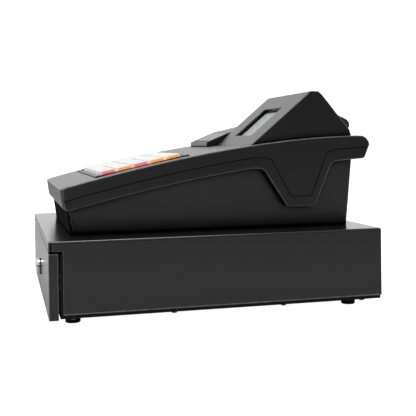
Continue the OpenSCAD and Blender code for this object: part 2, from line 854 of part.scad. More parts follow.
module display_pod() {
    x0 = window_x - window_w / 2;
    x1 = window_x + window_w / 2;
    s0 = window_s - window_h / 2;
    s1 = window_s + window_h / 2;
    color("#1b1b1d") difference() {
        union() {
            difference() {
                along_x(pod_x0, pod_x1) difference() {
                    pod_outline();
                    under_deck();
                }
                along_x(pod_x0 + wall, pod_x1 - wall) difference() {
                    offset(delta = -wall) pod_outline();
                    under_deck();
                }
            }
            on_pod() block([x0 - wall, s0 - wall, -recess_depth - wall], [x1 + wall, s1 + wall, -wall / 2]);
        }
        on_pod() block([x0, s0, -recess_depth], [x1, s1, 5]);
    }
}

module operator_display() {
    w = window_w / 2 - glass_edge;
    h = window_h / 2 - glass_edge;
    color("#9aa29c") on_pod() translate([window_x, window_s, -recess_depth])
        block([-w, -h, 0], [w, h, glass_t]);
}

module customer_display() {
    color("#4a3b33") along_x(pod_x0 + hump_end, pod_x1 - hump_end) polygon(hump);
}

// Side outline of the printer lid, open at the foot
module lid_outline() {
    polygon([
        [lid_y0, case_z + 60], [lid_y0, lid_nose], [lid_y0 + 39, lid_nose + 16],
        [lid_y0 + 81, lid_nose + 25.6], [150, lid_nose + 28], [172, lid_nose + 25],
        [lid_y1, lid_nose + 18], [lid_y1, case_z + 60]
    ]);
}

module on_lid() translate([0, lid_y0, lid_nose]) rotate([lid_slope, 0, 0]) children();

// Cut through the lid's front slope, inset from its sides, from y[0] to y[1] up the slope
module lid_cut(inset, y) {
    block([lid_x0 + inset, y[0], -wall - 3], [lid_x1 - inset, y[1], over]);
}

module printer_lid() {
    color("#29292b") difference() {
        union() {
            difference() {
                along_x(lid_x0, lid_x1) difference() {
                    lid_outline();
                    translate([0, lid_lift]) under_deck();
                }
                along_x(lid_x0 + wall, lid_x1 - wall) offset(delta = -wall) lid_outline();
            }
            for (x = [lid_x0, lid_x1 - knuckle_w]) {
                rod_x(x, x + knuckle_w, hinge_y, hinge_z, knuckle_r);
                block([x, lid_y1 - wall, hinge_z - knuckle_r + 1],
                    [x + knuckle_w, hinge_y, hinge_z + knuckle_r]);
            }
        }
        for (x = [lid_x0, lid_x1 - knuckle_w])
            rod_x(x - over, x + knuckle_w + over, hinge_y, hinge_z, hinge_pin_r + run_fit);
        on_lid() {
            lid_cut(lid_window_in, lid_window_y);
            lid_cut(tear_in, tear_y);
        }
    }
}

module lid_window() {
    color("#b9bfc0") on_lid()
        block([lid_x0 + lid_window_in, lid_window_y[0], -wall],
            [lid_x1 - lid_window_in, lid_window_y[1], -gap]);
}

module printer_frame() {
    color("#8d9093") difference() {
        union() {
            block([frame_x0, printer_y0, printer_z], [frame_x1, printer_y1, printer_z + side_t]);
            for (x = [frame_x0, frame_x1 - side_t]) {
                block([x, printer_y0, printer_z], [x + side_t, printer_y1, case_z + 97]);
                block([x, platen_y - 9, printer_z], [x + side_t, platen_y + 9, platen_z + 7]);
            }
            translate([frame_x0, platen_y + platen_r + head_gap, platen_z - 16])
                cube([frame_x1 - frame_x0, head_d, 20]);
            rod_x(frame_x0, frame_x1, roll_y, roll_z, spindle_r);
        }
        rod_x(frame_x0 - over, frame_x1 + over, platen_y, platen_z, journal_r + run_fit);
    }
}

module platen_roller() {
    color("#232323") {
        rod_x(frame_x0 + side_t + gap, frame_x1 - side_t - gap, platen_y, platen_z, platen_r);
        rod_x(frame_x0 - 1, frame_x1 + 1, platen_y, platen_z, journal_r);
    }
}

module paper_roll() {
    x0 = (frame_x0 + frame_x1 - paper_w) / 2;
    color("whitesmoke") difference() {
        rod_x(x0, x0 + paper_w, roll_y, roll_z, paper_r);
        rod_x(x0 - over, x0 + paper_w + over, roll_y, roll_z, spindle_r + 2 * run_fit);
    }
}

cabinet_shell();
base_pan();
rubber_feet();
base_screws();
outer_slides();
latch_solenoid();
latch_hook();
drawer_box();
drawer_front();
inner_slides();
note_tray();
coin_tray();
clip_axle();
lock_housing();
lock_cylinder();
lower_case();
top_case();
keyboard_frame();
key_mat();
circuit_boards();
display_pod();
operator_display();
customer_display();
printer_frame();
platen_roller();
paper_roll();
printer_lid();
lid_window();
transformer();
cord_gland();
for (i = [1 : note_bays]) note_clip(i);
for (i = [0 : len(KEYS) - 1]) key(KEYS[i]);
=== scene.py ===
"""Finishes and detailed pieces of the cash register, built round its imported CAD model.

Everything is in metres in the row frame: X to the operator's right, Y to the customer, Z up.
"""

import json
import math

import bmesh
import bpy
from mathutils import Matrix, Vector

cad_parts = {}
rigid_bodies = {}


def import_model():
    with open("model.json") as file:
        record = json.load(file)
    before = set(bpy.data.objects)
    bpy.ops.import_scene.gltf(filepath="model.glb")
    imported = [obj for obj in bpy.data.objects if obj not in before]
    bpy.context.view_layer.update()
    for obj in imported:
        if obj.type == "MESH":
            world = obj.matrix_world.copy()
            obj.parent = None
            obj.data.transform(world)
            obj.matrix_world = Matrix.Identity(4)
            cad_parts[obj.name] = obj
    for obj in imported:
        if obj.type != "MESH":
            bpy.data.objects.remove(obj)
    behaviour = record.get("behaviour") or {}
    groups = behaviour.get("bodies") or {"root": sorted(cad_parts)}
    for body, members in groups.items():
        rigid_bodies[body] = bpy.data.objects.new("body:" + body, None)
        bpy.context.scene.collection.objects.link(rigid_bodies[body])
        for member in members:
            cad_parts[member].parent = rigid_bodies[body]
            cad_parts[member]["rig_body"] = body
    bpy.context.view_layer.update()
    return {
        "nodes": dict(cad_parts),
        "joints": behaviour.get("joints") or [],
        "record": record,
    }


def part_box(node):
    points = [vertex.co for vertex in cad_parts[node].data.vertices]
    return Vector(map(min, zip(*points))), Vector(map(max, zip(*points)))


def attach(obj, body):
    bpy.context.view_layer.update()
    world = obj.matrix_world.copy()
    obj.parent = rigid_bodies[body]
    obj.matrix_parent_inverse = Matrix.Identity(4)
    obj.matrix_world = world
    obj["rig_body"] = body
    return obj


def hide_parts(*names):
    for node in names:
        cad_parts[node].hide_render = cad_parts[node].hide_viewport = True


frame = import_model()

MM = 0.001
SLOTS = {part["node"]: part["material_slot"] for part in frame["record"]["subparts"]}
BODIES = {node: frame["nodes"][node]["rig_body"] for node in frame["nodes"]}
JOINTS = {joint["child"]: joint for joint in frame["joints"]}
KEYS = sorted(node for node in BODIES if node.startswith("key_c"))
CLIPS = sorted(node for node in BODIES if node.startswith("note_clip"))

# ---------------------------------------------------------------- finishes


def node_of(tree, kind, **settings):
    """A shader node with its settings; a socket's name sets that socket's value."""
    made = tree.nodes.new(kind)
    for name, value in settings.items():
        if hasattr(made, name):
            setattr(made, name, value)
        else:
            made.inputs[name.replace("_", " ")].default_value = value
    return made


def noise_of(tree, vector, size, detail=2.0, stretch=(1, 1, 1)):
    """Noise whose blotches are about size metres across on the piece."""
    place = node_of(tree, "ShaderNodeMapping", Scale=[s / size for s in stretch])
    tree.links.new(vector, place.inputs["Vector"])
    noise = node_of(tree, "ShaderNodeTexNoise", Scale=1.0, Detail=detail, Roughness=0.55)
    tree.links.new(place.outputs["Vector"], noise.inputs["Vector"])
    return noise.outputs["Fac"]


def spread_of(tree, value, low, high, start=0.3, end=0.7):
    """The value eased from low to high as it goes from start to end."""
    spread = node_of(tree, "ShaderNodeMapRange", interpolation_type="SMOOTHSTEP")
    span = {"From Min": start, "From Max": end, "To Min": low, "To Max": high}
    for socket, number in span.items():
        spread.inputs[socket].default_value = number
    tree.links.new(value, spread.inputs["Value"])
    return spread.outputs["Result"]


def mix_of(tree, factor, first, second):
    """A colour between first and second, each an RGB triple or an output socket."""
    mix = node_of(tree, "ShaderNodeMix", data_type="RGBA")
    if isinstance(factor, (int, float)):
        mix.inputs["Factor"].default_value = factor
    else:
        tree.links.new(factor, mix.inputs["Factor"])
    for socket, colour in (("A", first), ("B", second)):
        target = next(s for s in mix.inputs if s.name == socket and s.type == "RGBA")
        if isinstance(colour, bpy.types.NodeSocket):
            tree.links.new(colour, target)
        else:
            target.default_value = (*colour, 1.0)
    return next(s for s in mix.outputs if s.type == "RGBA")


def times_of(tree, first, second):
    """The product of two values, each a number or an output socket."""
    product = node_of(tree, "ShaderNodeMath", operation="MULTIPLY")
    for i, value in enumerate((first, second)):
        if isinstance(value, (int, float)):
            product.inputs[i].default_value = value
        else:
            tree.links.new(value, product.inputs[i])
    return product.outputs["Value"]


def finish_of(
    name,
    colour,
    rough=(0.35, 0.45),
    grain=(0.5 * MM, 0.01 * MM),
    blotch=40 * MM,
    shade=0.12,
    wear_and_highlight=None,
    stretch=(1, 1, 1),
    pattern=None,
    painted_shade_reach=4 * MM,
    **shader,
):
    """A finish: blotched colour and roughness, a fine grain in relief, a lighter colour on rounded
    edges that is part rubbed wear and part painted highlight, and painted shade in corners.

    rough is the least and the most roughness, or one number, grain the grain's size and height,
    shade how far the colour varies, the edge colour that of rounded edges (rubbed wear and a
    painted highlight), pattern a function that gets the tree and the coordinates and returns the
    factor that mixes in a second colour, with that colour, and the painted shade's reach how far
    from a corner the colour and the shine start to darken as painted shade. The rest sets sockets.
    """
    made = bpy.data.materials.new(name)
    made.use_nodes = True
    tree = made.node_tree
    bsdf = tree.nodes["Principled BSDF"]
    for socket, value in shader.items():
        bsdf.inputs[socket.replace("_", " ")].default_value = value
    place = node_of(tree, "ShaderNodeTexCoord").outputs["Object"]
    blotches = noise_of(tree, place, blotch, detail=2.5)
    dark = [c * (1 - shade) for c in colour]
    light = [min(1.0, c * (1 + shade)) for c in colour]
    tint = mix_of(tree, blotches, dark, light)
    if pattern:
        factor, second = pattern(tree, place)
        tint = mix_of(tree, factor, tint, second)
    # Rounded edges take a lighter colour, in patches: part rubbed wear, part painted highlight.
    if wear_and_highlight:
        edge = node_of(tree, "ShaderNodeAttribute", attribute_name="wear_and_highlight")
        edge_patches = spread_of(tree, noise_of(tree, place, 12 * MM), 0.5, 0.9)
        tint = mix_of(tree, times_of(tree, edge.outputs["Fac"], edge_patches), tint, wear_and_highlight)
    # Painted shade: the colour, and the specular level unless it is given, darken towards corners
    # within the painted shade's reach.
    shade_occlusion = node_of(tree, "ShaderNodeAmbientOcclusion", samples=6, Distance=painted_shade_reach)
    outside_painted_shade = spread_of(tree, shade_occlusion.outputs["AO"], 0.0, 1.0, 0.42, 0.95)
    tree.links.new(mix_of(tree, outside_painted_shade, (0, 0, 0), tint), bsdf.inputs["Base Color"])
    if "Specular_IOR_Level" not in shader:
        shine = bsdf.inputs["Specular IOR Level"]
        tree.links.new(times_of(tree, outside_painted_shade, shine.default_value), shine)
    if isinstance(rough, tuple):
        smears = noise_of(tree, place, blotch * 0.6, detail=1.5, stretch=stretch)
        tree.links.new(spread_of(tree, smears, *rough), bsdf.inputs["Roughness"])
    else:
        bsdf.inputs["Roughness"].default_value = rough
    bump = node_of(tree, "ShaderNodeBump", Strength=1.0, Distance=grain[1])
    tree.links.new(noise_of(tree, place, grain[0], stretch=stretch), bump.inputs["Height"])
    tree.links.new(bump.outputs["Normal"], bsdf.inputs["Normal"])
    return made


WAVE_UNIT = math.pi / 10  # a Wave texture repeats this far apart at a scale of 1


def rings_on(centre, pitch, colour):
    """Pattern of thin rings round a centre line along X, as on the ends of a wound roll."""

    def pattern(tree, place):
        shift = node_of(tree, "ShaderNodeMapping", Location=[-c for c in centre], Scale=(0, 1, 1))
        shift.vector_type = "POINT"
        tree.links.new(place, shift.inputs["Vector"])
        wave = node_of(tree, "ShaderNodeTexWave", wave_type="RINGS", rings_direction="X")
        wave.inputs["Scale"].default_value = WAVE_UNIT / pitch
        wave.inputs["Distortion"].default_value = 0.4
        tree.links.new(shift.outputs["Vector"], wave.inputs["Vector"])
        return spread_of(tree, wave.outputs["Fac"], 0.0, 0.5, 0.2, 0.9), colour

    return pattern


def dots_on(slope, pitch, colour):
    """Pattern of the rows and columns of a dot display that leans back by slope."""

    def pattern(tree, place):
        lean = node_of(tree, "ShaderNodeMapping", Rotation=(-slope, 0, 0))
        tree.links.new(place, lean.inputs["Vector"])
        bands = []
        for way in "XY":
            wave = node_of(tree, "ShaderNodeTexWave", wave_type="BANDS", bands_direction=way)
            wave.inputs["Scale"].default_value = WAVE_UNIT / pitch
            wave.inputs["Distortion"].default_value = 0.0
            tree.links.new(lean.outputs["Vector"], wave.inputs["Vector"])
            bands.append(wave.outputs["Fac"])
        both = times_of(tree, *bands)
        cells = spread_of(tree, noise_of(tree, place, 9 * MM, 3.0), 0.0, 1.0, 0.42, 0.58)
        return times_of(tree, spread_of(tree, both, 0.0, 0.85, 0.3, 0.6), cells), colour

    return pattern


DISPLAY_SLOPE = math.radians(40.2)
ROLL_CENTRE = (0, 0.122, 0.195)

FINISHES = {
    # the edge colour in the rest is part rubbed wear and part painted highlight on rounded edges
    # name: colour, roughness, (grain size, grain height), size of the blotches, shade, and the rest
    "cabinet_paint": finish_of(
        "cabinet_paint", (0.007, 0.007, 0.0075), 0.18, (1.6 * MM, 0.008 * MM),
        160 * MM, 0.08, wear_and_highlight=(0.22, 0.22, 0.225), painted_shade_reach=6 * MM,
        Coat_Weight=0.3, Coat_Roughness=0.25,
    ),
    "pan_paint": finish_of(
        "pan_paint", (0.005, 0.005, 0.0052), 0.5, (1.2 * MM, 0.012 * MM), 60 * MM, 0.12,
        wear_and_highlight=(0.02, 0.02, 0.021), Specular_IOR_Level=0.2,
    ),
    "foot_rubber": finish_of(
        "foot_rubber", (0.014, 0.014, 0.014), (0.6, 0.8), (0.5 * MM, 0.02 * MM), 8 * MM, 0.2,
    ),
    "screw_steel": finish_of(
        "screw_steel", (0.62, 0.62, 0.63), (0.18, 0.32), (0.8 * MM, 0.006 * MM), 3 * MM, 0.08,
        Metallic=1.0,
    ),
    "slide_steel": finish_of(
        "slide_steel", (0.5, 0.51, 0.52), (0.25, 0.45), (0.6 * MM, 0.006 * MM), 30 * MM, 0.1,
        stretch=(1, 0.08, 1), Metallic=1.0,
    ),
    "solenoid_steel": finish_of(
        "solenoid_steel", (0.36, 0.37, 0.38), (0.3, 0.5), (0.6 * MM, 0.008 * MM), 10 * MM, 0.15,
        Metallic=1.0,
    ),
    "latch_steel": finish_of(
        "latch_steel", (0.5, 0.5, 0.51), (0.25, 0.45), (0.5 * MM, 0.008 * MM), 8 * MM, 0.12,
        stretch=(1, 0.2, 1), Metallic=1.0,
    ),
    "drawer_paint": finish_of(
        "drawer_paint", (0.03, 0.031, 0.034), (0.4, 0.55), (1.2 * MM, 0.012 * MM), 60 * MM, 0.12,
        wear_and_highlight=(0.12, 0.12, 0.125),
    ),
    "tray_plastic": finish_of(
        "tray_plastic", (0.02, 0.02, 0.021), (0.42, 0.6), (0.45 * MM, 0.02 * MM), 30 * MM, 0.15,
        wear_and_highlight=(0.045, 0.045, 0.047),
    ),
    "axle_steel": finish_of(
        "axle_steel", (0.6, 0.6, 0.61), (0.15, 0.3), (0.4 * MM, 0.004 * MM), 10 * MM, 0.06,
        stretch=(0.05, 1, 1), Metallic=1.0,
    ),
    "lock_chrome": finish_of(
        "lock_chrome", (0.8, 0.8, 0.81), (0.04, 0.12), (0.6 * MM, 0.002 * MM), 5 * MM, 0.04,
        Metallic=1.0,
    ),
    "lock_brass": finish_of(
        "lock_brass", (0.6, 0.6, 0.58), (0.22, 0.36), (0.3 * MM, 0.006 * MM), 4 * MM, 0.08,
        Metallic=1.0,
    ),
    "case_plastic": finish_of(
        "case_plastic", (0.0155, 0.0155, 0.0165), 0.28, (0.55 * MM, 0.012 * MM),
        120 * MM, 0.1, wear_and_highlight=(0.14, 0.14, 0.145), painted_shade_reach=10 * MM,
    ),
    # near-black painted shade, given to faces that stand in shadow
    "painted_shade_black": finish_of(
        "painted_shade_black", (0.002, 0.002, 0.0021), 0.9, (0.7 * MM, 0.03 * MM), 60 * MM, 0.15,
        Specular_IOR_Level=0.03,
    ),
    "frame_plastic": finish_of(
        "frame_plastic", (0.02, 0.02, 0.021), (0.3, 0.36), (0.45 * MM, 0.014 * MM), 40 * MM, 0.12,
        wear_and_highlight=(0.035, 0.035, 0.037),
    ),
    "key_ink": finish_of(
        "key_ink", (0.45, 0.46, 0.47), (0.4, 0.5), (0.3 * MM, 0.003 * MM), 6 * MM, 0.1,
        painted_shade_reach=0.01 * MM,
    ),
    "key_rubber": finish_of(
        "key_rubber", (0.1, 0.11, 0.12), (0.55, 0.7), (0.6 * MM, 0.015 * MM), 12 * MM, 0.1,
    ),
    "key_white": finish_of(
        "key_white", (0.55, 0.56, 0.55), (0.3, 0.4), (0.5 * MM, 0.004 * MM), 14 * MM, 0.03,
        wear_and_highlight=(0.62, 0.62, 0.61), painted_shade_reach=0.6 * MM, Specular_IOR_Level=0.3,
        # Emission is painted light: the white cap glows so that its sides look lit.
        Emission_Color=(0.9, 0.92, 0.9, 1), Emission_Strength=0.22,
    ),
    "key_red": finish_of(
        "key_red", (0.85, 0.22, 0.22), (0.3, 0.4), (0.5 * MM, 0.004 * MM), 14 * MM, 0.06,
        wear_and_highlight=(0.88, 0.3, 0.3), painted_shade_reach=0.6 * MM, Coat_Weight=0.9, Coat_Roughness=0.06,
        # Emission is painted light: the red cap glows so that its sides look lit.
        Emission_Color=(0.9, 0.2, 0.21, 1), Emission_Strength=0.4,
    ),
    "key_orange": finish_of(
        "key_orange", (0.88, 0.44, 0.16), (0.3, 0.4), (0.5 * MM, 0.004 * MM), 14 * MM, 0.06,
        wear_and_highlight=(0.9, 0.5, 0.22), painted_shade_reach=0.6 * MM, Coat_Weight=0.9, Coat_Roughness=0.06,
        # Emission is painted light: the orange cap glows so that its sides look lit.
        Emission_Color=(0.9, 0.4, 0.14, 1), Emission_Strength=0.4,
    ),
    "board_laminate": finish_of(
        "board_laminate", (0.02, 0.12, 0.05), (0.3, 0.45), (0.8 * MM, 0.01 * MM), 12 * MM, 0.2,
    ),
    "display_glass": finish_of(
        "display_glass", (0.4, 0.41, 0.405), (0.4, 0.5), (5 * MM, 0.002 * MM), 25 * MM, 0.04,
        pattern=dots_on(DISPLAY_SLOPE, 1.3 * MM, (0.25, 0.26, 0.25)),
        Specular_IOR_Level=0.3,
    ),
    "customer_glass": finish_of(
        "customer_glass", (0.07, 0.04, 0.03), (0.08, 0.18), (4 * MM, 0.002 * MM), 20 * MM, 0.2,
        Coat_Weight=0.5, Coat_Roughness=0.06,
    ),
    "printer_steel": finish_of(
        "printer_steel", (0.42, 0.43, 0.44), (0.28, 0.45), (0.6 * MM, 0.008 * MM), 20 * MM, 0.12,
        stretch=(0.1, 1, 1), Metallic=1.0,
    ),
    "platen_rubber": finish_of(
        "platen_rubber", (0.02, 0.02, 0.02), (0.6, 0.75), (0.3 * MM, 0.01 * MM), 8 * MM, 0.15,
    ),
    "paper": finish_of(
        "paper", (0.86, 0.85, 0.82), (0.6, 0.75), (0.3 * MM, 0.01 * MM), 20 * MM, 0.02,
        pattern=rings_on(ROLL_CENTRE, 0.9 * MM, (0.55, 0.54, 0.51)),
    ),
    "lid_plastic": finish_of(
        "lid_plastic", (0.018, 0.018, 0.019), 0.3, (0.5 * MM, 0.014 * MM), 40 * MM, 0.12,
        wear_and_highlight=(0.032, 0.032, 0.034),
    ),
    "window_plastic": finish_of(
        "window_plastic", (0.3, 0.31, 0.315), (0.5, 0.6), (3 * MM, 0.004 * MM), 20 * MM, 0.06,
        Specular_IOR_Level=0.15,
    ),
    "transformer_iron": finish_of(
        "transformer_iron", (0.12, 0.12, 0.125), (0.4, 0.6), (0.5 * MM, 0.03 * MM), 10 * MM, 0.2,
        stretch=(1, 1, 0.1), Metallic=0.6,
    ),
    "gland_rubber": finish_of(
        "gland_rubber", (0.011, 0.011, 0.011), (0.55, 0.75), (0.4 * MM, 0.015 * MM), 6 * MM, 0.2,
    ),
    "clip_plastic": finish_of(
        "clip_plastic", (0.03, 0.03, 0.032), (0.36, 0.5), (0.4 * MM, 0.012 * MM), 12 * MM, 0.15,
        wear_and_highlight=(0.07, 0.07, 0.072),
    ),
}

# ---------------------------------------------------------------- making pieces

CORNER = math.radians(30)  # an edge sharper than this is rounded
SHADED_FLAT = math.radians(32)  # an edge sharper than this is not shaded round


def cad_copy(node):
    """The CAD node's mesh with its doubles merged and its flat faces joined."""
    bm = bmesh.new()
    bm.from_mesh(frame["nodes"][node].data)
    bmesh.ops.remove_doubles(bm, verts=bm.verts, dist=0.01 * MM)
    bmesh.ops.dissolve_limit(
        bm, angle_limit=math.radians(0.3), verts=bm.verts, edges=bm.edges, delimit={"NORMAL"}
    )
    bm.faces.layers.float.new("wear_and_highlight")
    return bm


def round_off(bm, edges, radius, segments=3):
    """Rounds these edges, and marks the new faces for the lighter edge colour: rubbed wear and a
    painted highlight.
    """
    done = bmesh.ops.bevel(
        bm, geom=list(edges), offset=radius, offset_type="OFFSET", affect="EDGES",
        segments=segments, profile=0.5, material=-1, clamp_overlap=False,
    )
    wear_and_highlight = bm.faces.layers.float["wear_and_highlight"]
    for face in done["faces"]:
        face[wear_and_highlight] = 1.0
    bmesh.ops.remove_doubles(bm, verts=bm.verts, dist=0.002 * MM)
    return done["faces"]


def cut_through(bm, place, normal, faces=None):
    """Adds the edges where a plane crosses these faces, or all of them."""
    near = bm.faces[:] if faces is None else faces
    verts = bm.verts[:] if faces is None else list({v for f in near for v in f.verts})
    edges = bm.edges[:] if faces is None else list({e for f in near for e in f.edges})
    bmesh.ops.bisect_plane(
        bm, geom=verts + edges + near, dist=0.01 * MM, plane_co=place, plane_no=normal
    )


def sharp_edges(bm, least=CORNER, where=lambda middle: True):
    """The edges between faces that meet at more than least, and whose middle is where it says."""
    return [
        edge
        for edge in bm.edges
        if len(edge.link_faces) == 2
        and edge.calc_face_angle(0) > least
        and where((edge.verts[0].co + edge.verts[1].co) / 2)
    ]


def show(bm, name, body, finish, stands_for=(), weighted=True):
    """Makes the bmesh an object that rides on a body."""
    mesh = bpy.data.meshes.new(name)
    bm.to_mesh(mesh)
    bm.free()
    mesh.shade_smooth()
    mesh.set_sharp_from_angle(angle=SHADED_FLAT)
    mesh.materials.append(FINISHES[finish])
    made = bpy.data.objects.new(name, mesh)
    bpy.context.scene.collection.objects.link(made)
    if weighted:
        normals = made.modifiers.new("weighted normals", "WEIGHTED_NORMAL")
        normals.keep_sharp = True
    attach(made, body)
    if stands_for:
        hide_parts(*stands_for)
    return made


def stand_in(bm, node):
    """Shows the bmesh in the place of one CAD node, with that node's finish."""
    return show(bm, node + "_shape", BODIES[node], SLOTS[node], stands_for=[node])


def softened(node, radius, segments=2):
    """Shows a CAD node with all its edges rounded by the same radius."""
    bm = cad_copy(node)
    round_off(bm, sharp_edges(bm), radius, segments)
    return stand_in(bm, node)


def paint_shade(made, where):
    """Paints shade: gives the near-black painted-shade finish to the faces whose middle and normal
    are as wanted.
    """
    made.data.materials.append(FINISHES["painted_shade_black"])
    for face in made.data.polygons:
        if where(face.center, face.normal):
            face.material_index = 1


# ---------------------------------------------------------------- cabinet and drawer

for plain in sorted(BODIES):
    slots = frame["nodes"][plain].data.materials
    slots.clear()
    slots.append(FINISHES[SLOTS[plain]])

# width of the strips along the shell's cut edges that take a painted highlight
EDGE_LINE = 1.6 * MM
SHELL_ROUND = 0.45 * MM
FASCIA_AHEAD = 5 * MM  # the fascia's front is more than this before the sides' front edge
FASCIA_CLEAR = 4 * MM


def shell():
    """The folded shell, whose cut edges below and beside the drawer front take a painted highlight
    in the lighter edge colour.
    """
    bm = cad_copy("cabinet_shell")
    round_off(bm, sharp_edges(bm), SHELL_ROUND, 2)
    low = min(v.co.z for v in bm.verts) + EDGE_LINE
    half_way_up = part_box("cabinet_shell")[1].z / 2
    front = min(v.co.y for v in bm.verts if v.co.z < half_way_up) + EDGE_LINE
    fascia_low = min(v.co.z for v in bm.verts if v.co.y < front - FASCIA_AHEAD)
    cut_through(bm, (0, 0, low), (0, 0, 1))
    cut_through(bm, (0, front, 0), (0, 1, 0))
    wear_and_highlight = bm.faces.layers.float["wear_and_highlight"]
    for face in bm.faces:
        middle = face.calc_center_median()
        beside = front - 2 * EDGE_LINE < middle.y < front
        beside = beside and middle.z < fascia_low - FASCIA_CLEAR
        if middle.z < low or beside:
            face[wear_and_highlight] = 1.0
    stand_in(bm, "cabinet_shell")


shell()
softened("base_pan", 0.3 * MM, 1)
softened("drawer_front", 0.9 * MM, 3)
softened("drawer_box", 0.35 * MM, 1)
softened("coin_tray", 0.7 * MM)
softened("note_tray", 0.7 * MM)

# ---------------------------------------------------------------- upper unit

SURROUND_SIDE = 9 * MM

surround = softened("keyboard_frame", 0.5 * MM)
# the frame's outer sides get the near-black painted shade
paint_shade(surround, lambda at, way: abs(at.x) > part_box("keyboard_frame")[1].x - SURROUND_SIDE)
softened("rubber_feet", 1.4 * MM, 4)
softened("customer_display", 0.6 * MM)
softened("lid_window", 0.3 * MM, 1)
softened("lock_housing", 0.9 * MM, 4)
softened("lock_cylinder", 0.25 * MM)
softened("cord_gland", 0.6 * MM)
for clip in CLIPS:
    softened(clip, 0.3 * MM, 1)
softened("display_pod", 1.2 * MM, 3)
softened("printer_lid", 0.8 * MM, 3)

CASE_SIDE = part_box("lower_case")[1].x
CASE_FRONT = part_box("top_case")[0].y
TUB_CORNERS = {-1: 11.5 * MM, 1: 4 * MM}  # radius at the front and at the rear
# where the tub's upright corners are, as the least and most X: (front or rear, inner wall or not)
TUB_CORNER_X = {
    (-1, True): (139 * MM, 142.6 * MM), (-1, False): (142.2 * MM, 146 * MM),
    (1, True): (139 * MM, 145 * MM), (1, False): (145 * MM, 149 * MM),
}
TUB_CORNER_Y = 170 * MM
TUB_CORNER_LENGTH = 25 * MM
PLAN_CORNER = 13 * MM
CORNER_CUTS = 6
RIM_EDGE = 1.5 * MM
DECK_EDGE = 1.5 * MM
WALL = 2.5 * MM
NOSE_Z = 142 * MM
NOSE_DEPTH = 6 * MM
# below this height the lower case is painted near-black as a shadow gap under the tub
SHADOW_GAP_TOP = 103 * MM
TUB_SIDE = 143 * MM
# the tub's front under the nose, painted near-black as shade: the greatest |X| and Z, and the least
# and most Y
RECESS_SIDE, RECESS_TOP, RECESS_Y = 145.5 * MM, 135 * MM, (-183.5 * MM, -165 * MM)


def round_in_plan(bm):
    """Rounds the front corners as seen from above, walls, groove and all, about an upright axis."""
    centre_x, centre_y = CASE_SIDE - PLAN_CORNER, CASE_FRONT + PLAN_CORNER
    for i in range(CORNER_CUTS):
        step = PLAN_CORNER * math.tan(math.radians(45 * i / CORNER_CUTS))
        for place, normal in (
            ((centre_x + step, 0, 0), (1, 0, 0)),
            ((-centre_x - step, 0, 0), (1, 0, 0)),
            ((0, centre_y - step, 0), (0, 1, 0)),
        ):
            near = [f for f in bm.faces if any(v.co.y < centre_y + MM for v in f.verts)]
            cut_through(bm, place, normal, near)
    for v in bm.verts:
        aside, ahead = abs(v.co.x) - centre_x, centre_y - v.co.y
        if aside > 0 and ahead > 0:
            reach = max(aside, ahead) / math.hypot(aside, ahead)
            v.co.x = math.copysign(centre_x + aside * reach, v.co.x)
            v.co.y = centre_y - ahead * reach


def upright(edge):
    """Whether the edge runs upwards, give or take the tub's lean."""
    along = edge.verts[1].co - edge.verts[0].co
    return abs(along.z) > 0.7 * along.length and abs(along.x) < 0.3 * along.length


def outline_of(bm, wanted):
    """The edges of a side or corner face whose middle and whose other face's normal are wanted."""
    found = []
    for edge in sharp_edges(bm, math.radians(20)):
        middle = (edge.verts[0].co + edge.verts[1].co) / 2
        first, second = (face.normal for face in edge.link_faces)
        for wall, other in ((first, second), (second, first)):
            if abs(wall.z) < 0.3 and abs(other.x) < 0.1 and wanted(middle, other):
                found.append(edge)
                break
    return found


def top_case():
    """The upper case, with a soft edge round its deck, whose rounding takes the lighter edge
    colour: rubbed wear and a painted highlight.
    """
    bm = cad_copy("top_case")

    def on_deck(middle, normal):
        outside = abs(middle.x) > CASE_SIDE - 0.5 * MM or middle.y < CASE_FRONT + PLAN_CORNER
        return outside and normal.z > 0.4 and middle.z > NOSE_Z + 10 * MM

    round_off(bm, outline_of(bm, on_deck), DECK_EDGE, 3)
    round_in_plan(bm)
    stand_in(bm, "top_case")


def lower_case():
    """The lower case, with a soft rim whose rounded lower edge carries a painted highlight, rounded
    tub corners of an even wall, and near-black painted shade where the tub stands in shadow.
    """
    bm = cad_copy("lower_case")
    for end, radius in TUB_CORNERS.items():
        for inner in (False, True):
            low, high = TUB_CORNER_X[end, inner]
            corner = sharp_edges(
                bm, where=lambda at: low < abs(at.x) < high and at.y * end > TUB_CORNER_Y
            )
            corner = [e for e in corner if upright(e) and e.calc_length() > TUB_CORNER_LENGTH]
            # The tub's corners take no edge colour, so no painted highlight.
            for face in round_off(bm, corner, radius - WALL * inner, 7):
                if face.is_valid:
                    face[bm.faces.layers.float["wear_and_highlight"]] = 0.0

    def under_rim(middle, normal):
        nose = middle.y < CASE_FRONT + PLAN_CORNER + NOSE_DEPTH and middle.z < NOSE_Z
        return (abs(middle.x) > CASE_SIDE - 0.5 * MM or nose) and normal.z < -0.2

    round_off(bm, outline_of(bm, under_rim), RIM_EDGE, 4)
    round_in_plan(bm)
    cut_through(bm, (0, 0, SHADOW_GAP_TOP), (0, 0, 1))

    def in_painted_shade(at, way):
        """The faces painted near-black as shade: the tub's lowest strip as a painted shadow gap,
        its front under the nose and the faces that look down beside it.
        """
        front = way.y < -0.75 and RECESS_Y[0] < at.y < RECESS_Y[1]
        front = front and abs(at.x) < RECESS_SIDE and at.z < RECESS_TOP
        return front or at.z < SHADOW_GAP_TOP or (way.z < -0.8 and abs(at.x) < TUB_SIDE)

    paint_shade(stand_in(bm, "lower_case"), in_painted_shade)


lower_case()
top_case()

# ---------------------------------------------------------------- keys

